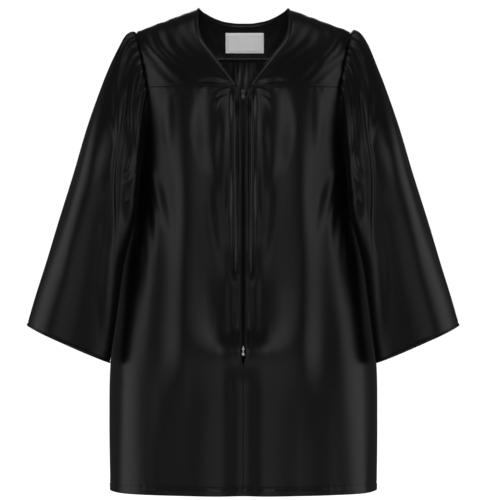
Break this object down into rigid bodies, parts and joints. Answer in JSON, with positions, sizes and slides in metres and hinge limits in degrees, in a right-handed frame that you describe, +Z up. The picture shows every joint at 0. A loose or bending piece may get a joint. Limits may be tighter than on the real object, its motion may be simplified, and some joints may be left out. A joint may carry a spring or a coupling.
{
  "type": "child's graduation gown",
  "caption": "Knee-length V-neck satin gown with yokes, gathered bell sleeves, a fluted back and a front zip, open at neck, cuffs and hem.",
  "frame": {"origin": "midway between the two neck points, where the shoulders carry the gown", "axes": "+Z up, from hem to neck; -Y to the front; +X to the wearer's left"},
  "size_m": [0.733, 0.2601, 0.8265],
  "materials": {
    "black_satin": "black satin with a soft sheen",
    "zip_tape": "matt black woven tape",
    "zip_coil": "black coil",
    "dark_metal": "dark lacquered metal",
    "pale_metal": "pale polished metal",
    "label_cloth": "white woven cloth, bare"
  },
  "bodies": {
    "gown": {"yoke_front_left": "black_satin", "yoke_front_right": "black_satin", "yoke_back": "black_satin", "front_left": "black_satin", "front_right": "black_satin", "back": "black_satin", "sleeve_left": "black_satin", "sleeve_right": "black_satin", "zip_tape_left": "zip_tape", "zip_tape_right": "zip_tape", "zip_coil_left": "zip_coil", "zip_coil_right": "zip_coil", "zip_slider": "dark_metal", "zip_bottom_stop": "pale_metal", "neck_label": "label_cloth"},
    "pull_tab": {"zip_pull_tab": "dark_metal"}
  },
  "joints": [
    {"name": "pull_tab_hinge", "type": "hinge", "parent": "gown", "child": "pull_tab", "pos_m": [0, -0.1021, -0.14984], "axis": [-1, 0, 0], "range_deg": [0, 170]}
  ]
}
